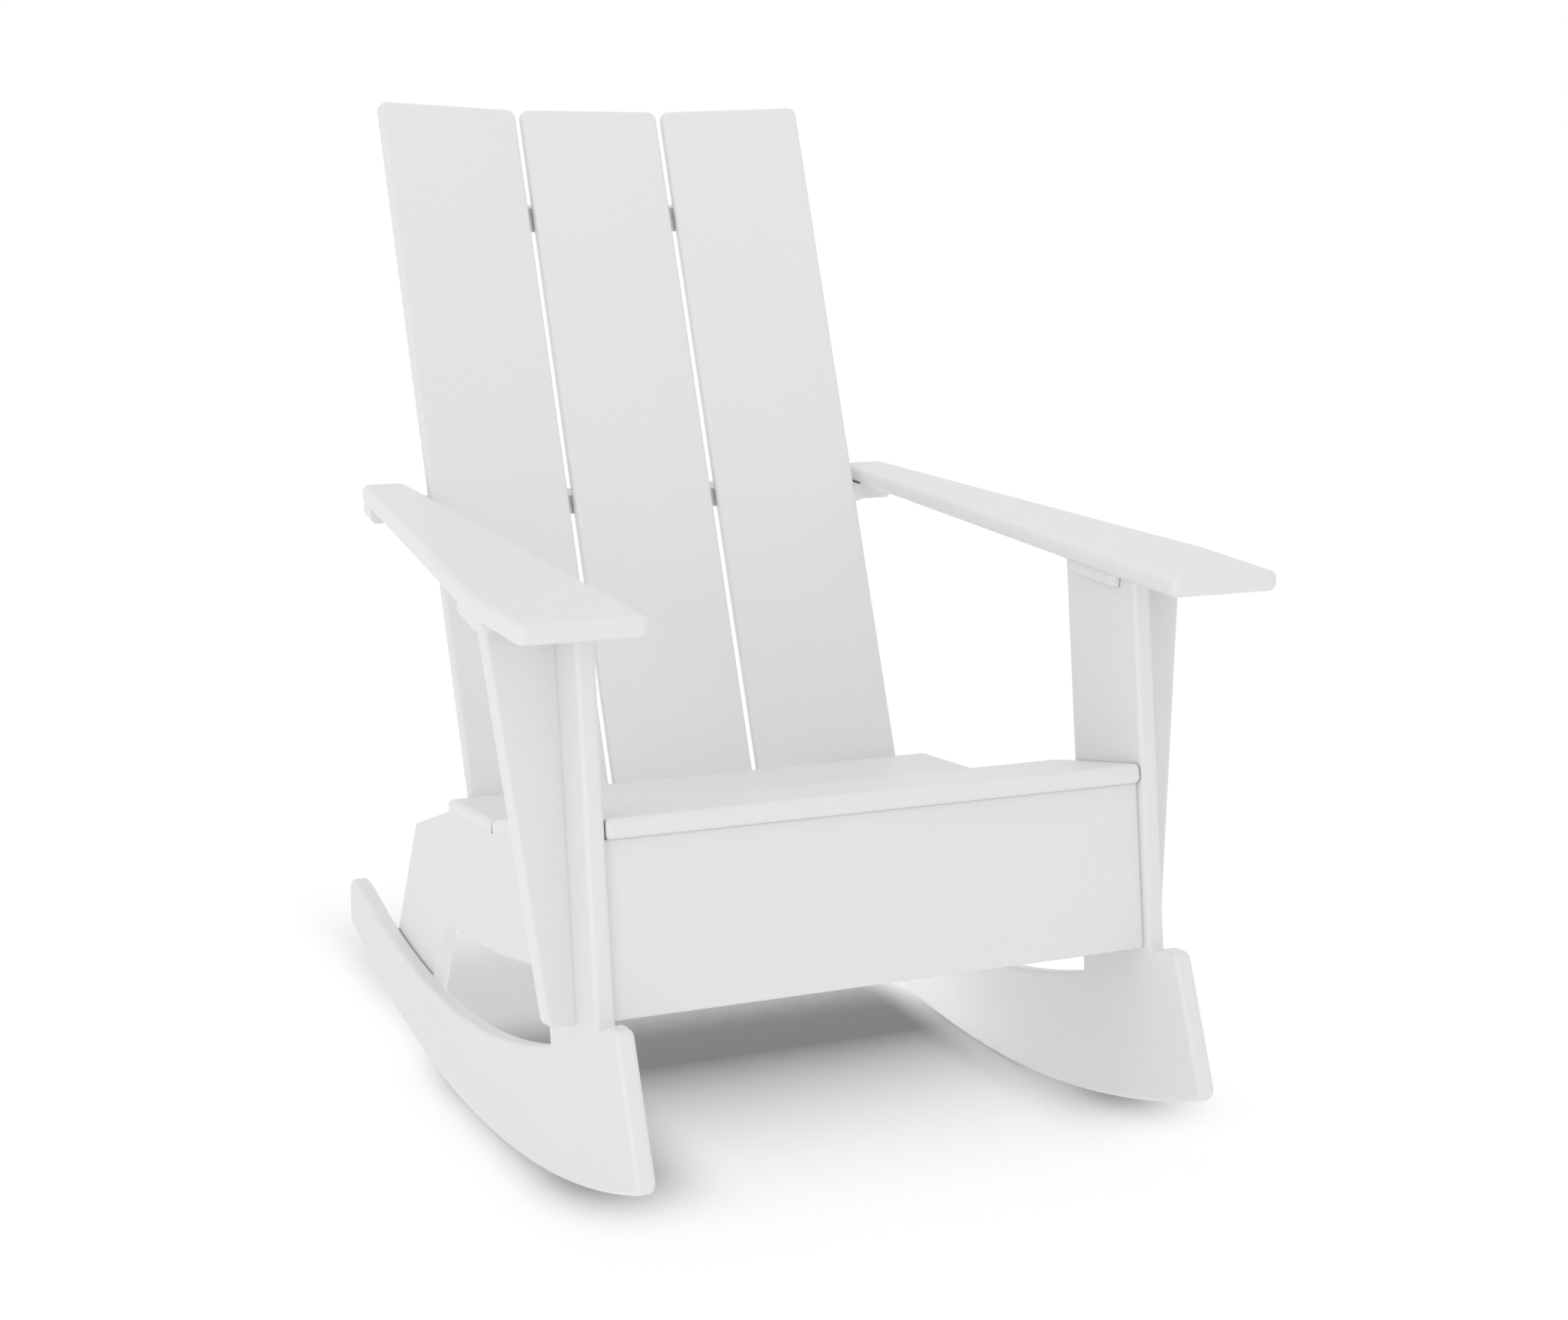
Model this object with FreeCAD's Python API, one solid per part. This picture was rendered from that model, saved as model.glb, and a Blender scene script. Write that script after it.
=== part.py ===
import FreeCAD, Part
import math
import os

# Rocking adirondack chair cut from plastic sheet, millimetres, +Z up.
# The sitter faces -Y, and left and right are as seen from the front, so left is -X.
# The chair is drawn with its arms level, then set down at its own balance: origin on the floor,
# under the middle of its overall box.

# Sheet stock
SHEET = 19.05
THIN_SHEET = 12.7
THICK_SHEET = 25.4
PLASTIC_DENSITY = 0.95e-6
STEEL_DENSITY = 7.9e-6

# Side plates: one leg and one rocker in a single sheet
LEG_OUTER_X = 300.0
LEG_INNER_X = LEG_OUTER_X - SHEET
LEG_LEAN = math.radians(10.74)
LEG_FRONT_Y = -300.0
LEG_DEPTH = 127.0
ROCKER_CENTRE = (114.8, 1217.3)
ROCKER_RADIUS = 1217.3
ROCKER_TOP_CENTRE = (224.6, 1076.3)
ROCKER_TOP_RADIUS = 991.0
NOSE_FOOT_Y = -363.6
NOSE_TOP = (-303.0, 227.0)
NOSE_REAR = (-283.0, 226.0)
NOTCH_Z = 213.5
CROTCH_Z = 155.2
TAIL_FOOT_Y = 512.0
TAIL_TOP = (516.0, 121.0)
TAIL_SHOULDER_Y = 478.0
NOSE_FOOT_RADIUS = 13.0
NOSE_TOP_RADIUS = 9.0
NOSE_REAR_RADIUS = 20.0
NOTCH_RADIUS = 5.0
TAIL_FOOT_RADIUS = 8.0
TAIL_TOP_RADIUS = 15.0
TAIL_SHOULDER_RADIUS = 30.0
CROTCH_RADIUS = 6.0

# Arms, and the plates that carry them
ARM_UNDERSIDE = 575.2
ARM_FRONT_Y = -284.5
ARM_REAR_Y = 413.0
ARM_INNER_X = 265.0
ARM_OUTER_X = 387.0
ARM_KINK_Y = -155.0
ARM_REAR_OUTER_X = 313.5
UNDER_ARM_INSET = 5.6
PLATE_UNDERSIDE = ARM_UNDERSIDE - THIN_SHEET
PLATE_INNER_X = 272.0
PLATE_FRONT_Y = -167.0
PLATE_REAR_Y = -80.0
PLATE_SLOT_SPARE = 0.5
ARM_FRONT_INNER_RADIUS = 9.0
ARM_FRONT_OUTER_RADIUS = 12.0
ARM_KINK_RADIUS = 40.0
ARM_REAR_RADIUS = 12.0
PLATE_CORNER_RADIUS = 7.0
PLATE_KINK_RADIUS = 20.0

# Gussets that stand against the outside of the legs
GUSSET_SETBACK = 50.5
GUSSET_FOOT = 214.0
GUSSET_HEAD = 600.0
GUSSET_FOOT_X = 328.3
GUSSET_HEAD_X = 370.5
GUSSET_RADIUS = 10.0

# Seat: profile of the sitting face in the side view, front to rear
SEAT_PROFILE = ((-224.65, 397.95), (-75.0, 362.9), (80.0, 308.9), (214.0, 294.3))
SEAT_THICKNESS = (SHEET, THIN_SHEET, THIN_SHEET)
SEAT_GAP = 3.6
SEAT_HALF_WIDTH = LEG_INNER_X - 0.15
SEAT_CORNER_RADIUS = 6.5

# Apron and seat rails
APRON_HALF_WIDTH = LEG_INNER_X - 0.05
APRON_SETBACK = 9.0
APRON_FOOT = 221.2
APRON_HEAD = 440.0
RAIL_INNER_X = LEG_INNER_X - SHEET
RAIL_ARC_CENTRE = (257.0, 1278.0)
RAIL_ARC_RADIUS = 1120.0
RAIL_ARC_FRONT_Y = -140.0
RAIL_FRONT_FOOT = 230.7
RAIL_HEEL = (325.7, 235.9)
RAIL_ARC_REAR_Y = 232.9
RAIL_ARCH_RADIUS = 25.0
RAIL_TOE = (284.0, 38.0)
RAIL_TOE_REAR = (405.2, 60.0)
RAIL_CORNER_RADIUS = 8.0
RAIL_HEEL_RADIUS = 4.0

# Back slats
SLAT_LEAN = math.radians(24.25)
SLAT_TURN = math.radians(6.8)
SLAT_TOP = (560.8, 986.2)
SLAT_WIDTH = 164.3
SLAT_GAP = 7.8
SLAT_FOOT_Z = 196.0
SLAT_TOP_RADIUS = 9.5
SLAT_FOOT_RADIUS = 6.0

# Back braces: underside height, rear edge and end of each
UPPER_BRACE_Z = 853.0
UPPER_BRACE_REAR = 580.0
UPPER_BRACE_END_X = 226.0
UPPER_BRACE_TAPER = (60.0, 18.0)
LOWER_BRACE_Z = ARM_UNDERSIDE - SHEET
LOWER_BRACE_REAR = 438.0
LOWER_BRACE_WING = (279.0, 382.0)
LOWER_BRACE_NECK = (243.0, 354.0)
FOOT_BRACE_Z = 208.0
FOOT_BRACE_REAR = 285.0
BRACE_BLANK_DEPTH = 110.0
BRACE_CORNER_RADIUS = 10.0

# Rounding
ARM_EASE = 6.5
PLATE_EASE = 5.0
SEAT_EASE = 5.5
SLAT_EASE = 4.2
FINE_EASE = 2.5

# Screws: flat-seated round heads in counterbores, stainless steel
SCREW_RADIUS = 2.4
SCREW_HEAD_RADIUS = 4.2
SCREW_HEAD_HEIGHT = 3.2
SCREW_TIP = 4.0
SCREW_TIP_RADIUS = 0.4
SOCKET_RADIUS = 1.9
SOCKET_DEPTH = 1.8
BORE_RADIUS = 2.55
BORE_SPARE = 0.5
COUNTERBORE_RADIUS = 5.0
MOUTH_SPARE = 2.0

# Screws from the rails into the legs, gussets and rockers: behind the leg's front edge and up the leg,
# up the leg alone, and in the side view
LAP_SCREWS = ((42.0, 265.0), (42.0, 350.0), (110.0, 275.0), (110.0, 350.0))
GUSSET_SCREWS = (270.0, 360.0)
FOOT_SCREWS = ((300.0, 64.0), (343.0, 70.0), (380.0, 79.0))
RAIL_HEAD_DEPTH = 6.0
LAP_SCREW_LENGTH = 27.0
GUSSET_SCREW_LENGTH = 55.0

# Screws at the arms, in plan
ARM_SCREWS = ((318.0, -153.0), (352.0, -153.0), (335.0, -98.0))
ARM_REAR_SCREWS = ((277.0, 400.0), (295.0, 400.0))
LEG_HEAD_SCREWS_Y = (-146.0, -102.0)
GUSSET_HEAD_SCREW = (338.0, -135.5)
PLATE_HEAD_DEPTH = 4.0
WING_HEAD_DEPTH = 8.0
ARM_SCREW_LENGTH = 23.0
LEG_HEAD_DEPTH = 4.0
LEG_HEAD_SCREW_LENGTH = 45.0
GUSSET_HEAD_SCREW_LENGTH = 42.0

# Screws from the braces into the slats: shares of a slat's width from its inner edge
MIDDLE_SLAT_SCREWS = (0.22, 0.78)
OUTER_SLAT_SCREWS = (0.2, 0.7)
SLAT_SCREW_REACH = 34.0
SLAT_SCREW_BITE = 9.0
BRACE_MOUTH = 60.0

# Tilted screws in pockets, which leave a board through the middle of its edge
POCKET_RADIUS = 4.6
POCKET_TILT = math.radians(15.0)
POCKET_REACH = 25.0
POCKET_MOUTH = 32.0
POCKET_BITE = 12.0
SEAT_SCREW_BITE = 0.65
SEAT_SCREWS = ((0.55, 0.88), (0.3, 0.7), (0.3, 0.7))
APRON_SCREWS = (295.0, 325.0)
FOOT_BRACE_SCREWS_Y = (252.0, 274.0)

# How near an edge counts as lying on a line or a face
NEAR = 1.0
TOUCHING = 1e-3

X = FreeCAD.Vector(1, 0, 0)
Y = FreeCAD.Vector(0, 1, 0)
Z = FreeCAD.Vector(0, 0, 1)
ORIGIN = FreeCAD.Vector(0, 0, 0)
LEG_UP = FreeCAD.Vector(0, math.sin(LEG_LEAN), math.cos(LEG_LEAN))
LEG_BACK = FreeCAD.Vector(0, math.cos(LEG_LEAN), -math.sin(LEG_LEAN))
SIDES = {"left": -1, "right": 1}
SEAT_BOARDS = ("seat_board_front", "seat_board_middle", "seat_board_rear")
SLATS = {"back_slat_middle": 0, "back_slat_right": 1, "back_slat_left": -1}

shapes = {}


def vec(x, y, z):
    return FreeCAD.Vector(x, y, z)


def flat(point):
    """A point of an outline, on the sheet's lower face."""
    return vec(point[0], point[1], 0)


def lines(points):
    """Straight edges from each point to the next."""
    return [Part.LineSegment(flat(a), flat(b)).toShape() for a, b in zip(points, points[1:])]


def closed(points):
    """Straight edges from each point to the next, and back to the first."""
    return lines(list(points) + [points[0]])


def below_circle(centre, radius, u):
    """The point of a circle's lower half at the given first coordinate."""
    return (u, centre[1] - math.sqrt(radius ** 2 - (u - centre[0]) ** 2))


def arc(centre, radius, start_u, end_u):
    """An arc of a circle's lower half."""
    ends = [below_circle(centre, radius, u) for u in (start_u, (start_u + end_u) / 2, end_u)]
    return Part.Arc(*[flat(point) for point in ends]).toShape()


def cut_sheet(edges, thickness):
    """A flat board with the given outline, its lower face at zero."""
    return Part.Face(Part.Wire(edges)).extrude(vec(0, 0, thickness))


def round_corners(sheet, corners):
    """Round the sheet's corners, each given as its place in the outline and its radius."""
    for u, v, radius in corners:
        def distance(edge, u=u, v=v):
            return math.hypot(edge.CenterOfMass.x - u, edge.CenterOfMass.y - v)

        uprights = [edge for edge in sheet.Edges if edge.BoundBox.ZLength > THIN_SHEET / 2]
        sheet = sheet.makeFillet(radius, [min(uprights, key=distance)])
    return sheet


def ease(sheet, radius, faces=("low", "high"), keep=None):
    """Round over the outline's edges on the named faces, except where keep says so."""
    levels = {"low": sheet.BoundBox.ZMin, "high": sheet.BoundBox.ZMax}
    chosen = []
    for edge in sheet.Edges:
        box = edge.BoundBox
        on_face = any(abs(box.ZMin - levels[face]) < TOUCHING for face in faces)
        if box.ZLength < TOUCHING and on_face and not (keep and keep(edge.CenterOfMass)):
            chosen.append(edge)
    return sheet.makeFillet(radius, chosen)


def place(sheet, origin, along, up):
    """Move a sheet from its own plane to the chair: its two outline axes become along and up."""
    normal = along.cross(up)
    matrix = FreeCAD.Matrix(along.x, up.x, normal.x, origin.x,
                            along.y, up.y, normal.y, origin.y,
                            along.z, up.z, normal.z, origin.z,
                            0, 0, 0, 1)
    return sheet.transformed(matrix)


def other_side(shape):
    """The same shape on the other side of the chair's middle plane."""
    return shape.mirror(ORIGIN, X)


def add_pair(name, right_shape):
    """Keep a piece of the right side, and its mirror image on the left."""
    shapes[name + "_right"] = right_shape
    shapes[name + "_left"] = other_side(right_shape)


def leg_point(setback, along, x=0.0):
    """A point by its distance behind the leg's front edge and its distance up the leg."""
    return vec(x, LEG_FRONT_Y, 0) + LEG_BACK * setback + LEG_UP * along


def leg_edge_y(z, setback):
    """Where a line parallel to the leg's front edge crosses a height."""
    start = leg_point(setback, 0)
    return start.y + (z - start.z) * math.tan(LEG_LEAN)


def side_plate():
    """Leg and rocker, one sheet."""
    nose_foot = below_circle(ROCKER_CENTRE, ROCKER_RADIUS, NOSE_FOOT_Y)
    tail_foot = below_circle(ROCKER_CENTRE, ROCKER_RADIUS, TAIL_FOOT_Y)
    tail_shoulder = below_circle(ROCKER_TOP_CENTRE, ROCKER_TOP_RADIUS, TAIL_SHOULDER_Y)
    crotch = below_circle(ROCKER_TOP_CENTRE, ROCKER_TOP_RADIUS, leg_edge_y(CROTCH_Z, LEG_DEPTH))
    head_rear = (leg_edge_y(ARM_UNDERSIDE, LEG_DEPTH), ARM_UNDERSIDE)
    slot_rear = PLATE_REAR_Y + PLATE_SLOT_SPARE
    slot_front = PLATE_FRONT_Y - PLATE_SLOT_SPARE
    slot = [(slot_rear, ARM_UNDERSIDE), (slot_rear, PLATE_UNDERSIDE),
            (slot_front, PLATE_UNDERSIDE), (slot_front, ARM_UNDERSIDE)]
    head_front = (leg_edge_y(ARM_UNDERSIDE, 0), ARM_UNDERSIDE)
    notch = (leg_edge_y(NOTCH_Z, 0), NOTCH_Z)
    edges = [arc(ROCKER_CENTRE, ROCKER_RADIUS, NOSE_FOOT_Y, TAIL_FOOT_Y)]
    edges += lines([tail_foot, TAIL_TOP, tail_shoulder])
    edges.append(arc(ROCKER_TOP_CENTRE, ROCKER_TOP_RADIUS, TAIL_SHOULDER_Y, crotch[0]))
    edges += lines([crotch, head_rear, *slot, head_front, notch, NOSE_REAR, NOSE_TOP, nose_foot])
    sheet = cut_sheet(edges, SHEET)
    sheet = round_corners(sheet, [
        (*nose_foot, NOSE_FOOT_RADIUS), (*NOSE_TOP, NOSE_TOP_RADIUS), (*NOSE_REAR, NOSE_REAR_RADIUS),
        (*notch, NOTCH_RADIUS), (*tail_foot, TAIL_FOOT_RADIUS), (*TAIL_TOP, TAIL_TOP_RADIUS),
        (*tail_shoulder, TAIL_SHOULDER_RADIUS), (*crotch, CROTCH_RADIUS),
    ])

    def under_arm(centre):
        return centre.y > PLATE_UNDERSIDE - NEAR

    return place(ease(sheet, PLATE_EASE, keep=under_arm), vec(LEG_INNER_X, 0, 0), Y, Z)


def seat_frame(index):
    """Start, direction and upward normal of one stretch of the seat's profile."""
    start = vec(0, *SEAT_PROFILE[index])
    end = vec(0, *SEAT_PROFILE[index + 1])
    run = (end - start).normalize()
    return start, run, X.cross(run), (end - start).Length


def under_seat(index, y):
    """Height of the underside of one seat board at a distance from front to rear."""
    start, run, normal, _ = seat_frame(index)
    low = start - normal * SEAT_THICKNESS[index]
    return low.z + (y - low.y) * run.z / run.y


def under_seat_front(setback):
    """Where a line parallel to the leg's front edge meets the underside of the front seat board."""
    run = seat_frame(0)[1]
    at_floor = leg_edge_y(0, setback)
    z = under_seat(0, at_floor) / (1 - run.z / run.y * math.tan(LEG_LEAN))
    return leg_edge_y(z, setback), z


def seat_valley():
    """Where the undersides of the middle and rear seat boards would meet."""
    slopes = [seat_frame(index)[1].z / seat_frame(index)[1].y for index in (1, 2)]
    return (under_seat(2, 0) - under_seat(1, 0)) / (slopes[0] - slopes[1])


def seat_board(index):
    """One board of the seat, front, middle or rear."""
    start, run, normal, length = seat_frame(index)
    leads = index == 0
    first = 0.0 if leads else SEAT_GAP / 2
    last = length if index == len(SEAT_THICKNESS) - 1 else length - SEAT_GAP / 2
    half = SEAT_HALF_WIDTH
    thickness = SEAT_THICKNESS[index]
    corners = [(-half, first), (half, first), (half, last), (-half, last)]
    sheet = cut_sheet(closed(corners), thickness)
    if leads:
        sheet = round_corners(sheet, [(u, v, SEAT_CORNER_RADIUS) for u, v in corners[:2]])
    sheet = ease(sheet, SEAT_EASE, faces=("high",))
    if leads:
        sheet = ease(sheet, SEAT_EASE, faces=("low",), keep=lambda centre: centre.y > thickness)
    return place(sheet, start - normal * thickness, X, run)


def seat_rail():
    """Board on edge that carries the seat and ends in the rear foot."""
    start, run, normal, length = seat_frame(2)
    head_rear = start + run * length - normal * SEAT_THICKNESS[2]
    front = APRON_SETBACK + SHEET
    head_front = under_seat_front(front)
    seam_y = SEAT_PROFILE[1][0]
    valley_y = seat_valley()
    arc_front = below_circle(RAIL_ARC_CENTRE, RAIL_ARC_RADIUS, RAIL_ARC_FRONT_Y)
    arc_rear = below_circle(RAIL_ARC_CENTRE, RAIL_ARC_RADIUS, RAIL_ARC_REAR_Y)
    outline = [arc_rear, RAIL_TOE, RAIL_TOE_REAR, RAIL_HEEL, (head_rear.y, head_rear.z),
               (valley_y, under_seat(2, valley_y)), (seam_y, under_seat(1, seam_y)),
               (seam_y, under_seat(0, seam_y)), head_front,
               (leg_edge_y(RAIL_FRONT_FOOT, front), RAIL_FRONT_FOOT), arc_front]
    edges = lines(outline)
    edges.append(arc(RAIL_ARC_CENTRE, RAIL_ARC_RADIUS, RAIL_ARC_FRONT_Y, RAIL_ARC_REAR_Y))
    sheet = cut_sheet(edges, SHEET)
    sheet = round_corners(sheet, [
        (*arc_rear, RAIL_ARCH_RADIUS), (*RAIL_TOE, RAIL_CORNER_RADIUS),
        (*RAIL_TOE_REAR, RAIL_CORNER_RADIUS), (*RAIL_HEEL, RAIL_HEEL_RADIUS),
    ])

    def boarded(centre):
        under_boards = centre.x < head_rear.y and centre.y > head_rear.z - NEAR
        return under_boards or centre.x < RAIL_ARC_FRONT_Y

    return place(ease(sheet, FINE_EASE, keep=boarded), vec(RAIL_INNER_X, 0, 0), Y, Z)


def apron():
    """Board between the legs, cut off along the underside of the front seat board."""
    half = APRON_HALF_WIDTH
    corners = [(-half, APRON_FOOT), (half, APRON_FOOT), (half, APRON_HEAD), (-half, APRON_HEAD)]
    sheet = cut_sheet(closed(corners), SHEET)
    sheet = ease(sheet, FINE_EASE, keep=lambda centre: centre.y > APRON_FOOT + NEAR)
    board = place(sheet, leg_point(APRON_SETBACK + SHEET, 0), X, LEG_UP)
    start, run, normal, length = seat_frame(0)
    corner = start - normal * SHEET - X * half * 2 - run * length
    above = Part.makeBox(half * 4, length * 2, length)
    return board.cut(place(above, corner, X, run))


def arm_outer_x(y):
    """Distance of the arm's outer edge from the chair's middle, from the kink back."""
    share = (y - ARM_KINK_Y) / (ARM_REAR_Y - ARM_KINK_Y)
    return ARM_OUTER_X + share * (ARM_REAR_OUTER_X - ARM_OUTER_X)


def arm():
    """Arm board: wide in front, narrower from the kink back."""
    corners = [(ARM_INNER_X, ARM_FRONT_Y, ARM_FRONT_INNER_RADIUS),
               (ARM_OUTER_X, ARM_FRONT_Y, ARM_FRONT_OUTER_RADIUS),
               (ARM_OUTER_X, ARM_KINK_Y, ARM_KINK_RADIUS),
               (ARM_REAR_OUTER_X, ARM_REAR_Y, ARM_REAR_RADIUS),
               (ARM_INNER_X, ARM_REAR_Y, ARM_REAR_RADIUS)]
    sheet = cut_sheet(closed([(u, v) for u, v, _ in corners]), SHEET)
    sheet = ease(round_corners(sheet, corners), ARM_EASE)
    return place(sheet, vec(0, 0, ARM_UNDERSIDE), X, Y)


def arm_plate():
    """Small plate let into the leg's head, under the arm."""
    outer = ARM_OUTER_X - UNDER_ARM_INSET
    rear_outer = arm_outer_x(PLATE_REAR_Y) - UNDER_ARM_INSET
    corners = [(PLATE_INNER_X, PLATE_FRONT_Y, PLATE_CORNER_RADIUS),
               (outer, PLATE_FRONT_Y, PLATE_CORNER_RADIUS),
               (outer, ARM_KINK_Y, PLATE_KINK_RADIUS),
               (rear_outer, PLATE_REAR_Y, PLATE_CORNER_RADIUS),
               (PLATE_INNER_X, PLATE_REAR_Y, PLATE_CORNER_RADIUS)]
    sheet = cut_sheet(closed([(u, v) for u, v, _ in corners]), THIN_SHEET)
    sheet = ease(round_corners(sheet, corners), FINE_EASE, faces=("low",))
    return place(sheet, vec(0, 0, PLATE_UNDERSIDE), X, Y)


def gusset():
    """Tapered board outside the leg, cut off along the underside of the arm plate."""
    foot = (GUSSET_FOOT_X, GUSSET_FOOT)
    corners = [(LEG_OUTER_X, GUSSET_FOOT), foot, (GUSSET_HEAD_X, GUSSET_HEAD), (LEG_OUTER_X, GUSSET_HEAD)]
    sheet = cut_sheet(closed(corners), SHEET)
    sheet = round_corners(sheet, [(*foot, GUSSET_RADIUS)])

    def joined(centre):
        return centre.x < LEG_OUTER_X + NEAR or centre.y > GUSSET_HEAD - NEAR

    sheet = ease(sheet, PLATE_EASE, keep=joined)
    board = place(sheet, leg_point(GUSSET_SETBACK + SHEET, 0), X, LEG_UP)
    corner = vec(LEG_OUTER_X / 2, LEG_FRONT_Y, PLATE_UNDERSIDE)
    return board.cut(Part.makeBox(LEG_OUTER_X, LEG_OUTER_X, GUSSET_HEAD - PLATE_UNDERSIDE, corner))


def slat_axes(side):
    """Rear-face axes of a slat: across from its inner edge, up, and the inner edge's start."""
    up = vec(0, math.sin(SLAT_LEAN), math.cos(SLAT_LEAN))
    front = X.cross(up)
    if side == 0:
        across = X
        start = vec(-SLAT_WIDTH / 2, *SLAT_TOP) - front * THIN_SHEET
    else:
        across = X * side * math.cos(SLAT_TURN) + front * math.sin(SLAT_TURN)
        start = vec(side * (SLAT_WIDTH / 2 + SLAT_GAP), *SLAT_TOP)
        start -= front * (THIN_SHEET / math.cos(SLAT_TURN))
    return across, up, start


def slat_length():
    """Length of a slat between its top and its foot."""
    return (SLAT_TOP[1] - SLAT_FOOT_Z) / math.cos(SLAT_LEAN)


def slat(side):
    """One slat of the back: 0 is the middle one, 1 the right and -1 the left."""
    across, up, start = slat_axes(side)
    length = slat_length()
    outward = -1 if side < 0 else 1
    corners = [(0, -length), (outward * SLAT_WIDTH, -length), (outward * SLAT_WIDTH, 0), (0, 0)]
    sheet = cut_sheet(closed(corners), THIN_SHEET)
    radii = [SLAT_FOOT_RADIUS, SLAT_FOOT_RADIUS, SLAT_TOP_RADIUS, SLAT_TOP_RADIUS]
    sheet = round_corners(sheet, [(*corner, radius) for corner, radius in zip(corners, radii)])
    sheet = ease(sheet, SLAT_EASE)
    return place(sheet, start, across * outward, up)


def slat_rear(side, offset, z):
    """A point on a slat's rear face, by its distance across and its height."""
    across, up, start = slat_axes(side)
    point = start + across * offset
    return point + up * ((z - point.z) / up.z)


def clear_of_slats(blank):
    """Bevel a brace's front edge to lie against the three slats."""
    spare = SLAT_GAP / 2
    length = slat_length()
    for side in (0, 1, -1):
        across, up, start = slat_axes(side)
        outward = -1 if side < 0 else 1
        reach = SLAT_WIDTH * 2 if side else SLAT_WIDTH + SLAT_GAP
        room = Part.makeBox(reach, length * 2, SLAT_WIDTH * 2)
        if outward < 0:
            room = other_side(room)
        blank = blank.cut(place(room, start - across * spare - up * length * 1.5, across * outward, up))
    return max(blank.Solids, key=lambda solid: solid.Volume)


def brace(underside, thickness, outline, radius, joined):
    """A level board behind the slats, given by its plan before its front edge is bevelled."""
    sheet = cut_sheet(closed(outline), thickness)
    rear = max(v for _, v in outline)
    sheet = round_corners(sheet, [(u, v, BRACE_CORNER_RADIUS) for u, v in outline if v == rear])
    return clear_of_slats(place(ease(sheet, radius, keep=joined), vec(0, 0, underside), X, Y))


def upper_brace():
    """Thick board behind the slats' upper part, tapered towards its ends."""
    end = UPPER_BRACE_END_X
    rear = UPPER_BRACE_REAR
    taper_x, taper_y = UPPER_BRACE_TAPER
    front = rear - BRACE_BLANK_DEPTH
    outline = [(-end, front), (end, front), (end, rear - taper_y), (end - taper_x, rear),
               (taper_x - end, rear), (-end, rear - taper_y)]

    def joined(centre):
        return centre.y < rear - SHEET

    return brace(UPPER_BRACE_Z, THICK_SHEET, outline, FINE_EASE, joined)


def lower_brace():
    """Board behind the slats at arm height, with wings that carry the arms' rear ends."""
    rear = LOWER_BRACE_REAR
    front = LOWER_BRACE_WING[1]
    neck_x, neck_y = LOWER_BRACE_NECK
    half = [(neck_x, rear - BRACE_BLANK_DEPTH), (neck_x, neck_y), LOWER_BRACE_WING,
            (arm_outer_x(front) - UNDER_ARM_INSET, front),
            (arm_outer_x(rear) - UNDER_ARM_INSET, rear)]
    outline = half + [(-u, v) for u, v in reversed(half)]

    def joined(centre):
        return centre.y < front + NEAR

    return brace(LOWER_BRACE_Z, SHEET, outline, ARM_EASE, joined)


def foot_brace():
    """Board between the rails, behind the slats' feet."""
    end = RAIL_INNER_X
    rear = FOOT_BRACE_REAR
    front = rear - BRACE_BLANK_DEPTH
    sheet = cut_sheet(closed([(-end, front), (end, front), (end, rear), (-end, rear)]), SHEET)
    return clear_of_slats(place(sheet, vec(0, 0, FOOT_BRACE_Z), X, Y))


def screw(seat, direction, length):
    """A screw whose head sits at seat and whose tip points along direction."""
    top = seat - direction * SCREW_HEAD_HEIGHT
    head = Part.makeCylinder(SCREW_HEAD_RADIUS, SCREW_HEAD_HEIGHT, top, direction)
    socket = Part.makeCylinder(SOCKET_RADIUS, SOCKET_DEPTH, top, direction)
    shank = Part.makeCylinder(SCREW_RADIUS, length - SCREW_TIP, seat, direction)
    tip_start = seat + direction * (length - SCREW_TIP)
    tip = Part.makeCone(SCREW_RADIUS, SCREW_TIP_RADIUS, SCREW_TIP, tip_start, direction)
    return head.cut(socket).fuse([shank, tip]).removeSplitter().Solids[0]


def screw_room(seat, direction, length, mouth, mouth_radius):
    """What a screw takes out of the boards: its bore, and the counterbore behind its head."""
    bore = Part.makeCylinder(BORE_RADIUS, length + BORE_SPARE, seat, direction)
    counterbore = Part.makeCylinder(mouth_radius, mouth, seat - direction * mouth, direction)
    return bore.fuse(counterbore)


def drive(group, boards, seat, direction, length, mouth, mouth_radius=COUNTERBORE_RADIUS):
    """Add one screw to its group, and cut its room out of the boards that it joins."""
    solids = shapes[group].Solids if group in shapes else []
    shapes[group] = Part.makeCompound(solids + [screw(seat, direction, length)])
    room = screw_room(seat, direction, length, mouth, mouth_radius)
    for name in boards:
        shapes[name] = shapes[name].cut(room)


def drive_pair(group, boards, seat, direction, length, mouth, mouth_radius=COUNTERBORE_RADIUS):
    """Drive one screw on the right and its mirror image on the left."""
    for side, sign in SIDES.items():
        names = [name.replace("SIDE", side) for name in boards]
        seat_here = vec(seat.x * sign, seat.y, seat.z)
        aim = vec(direction.x * sign, direction.y, direction.z)
        drive(group, names, seat_here, aim, length, mouth, mouth_radius)


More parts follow.
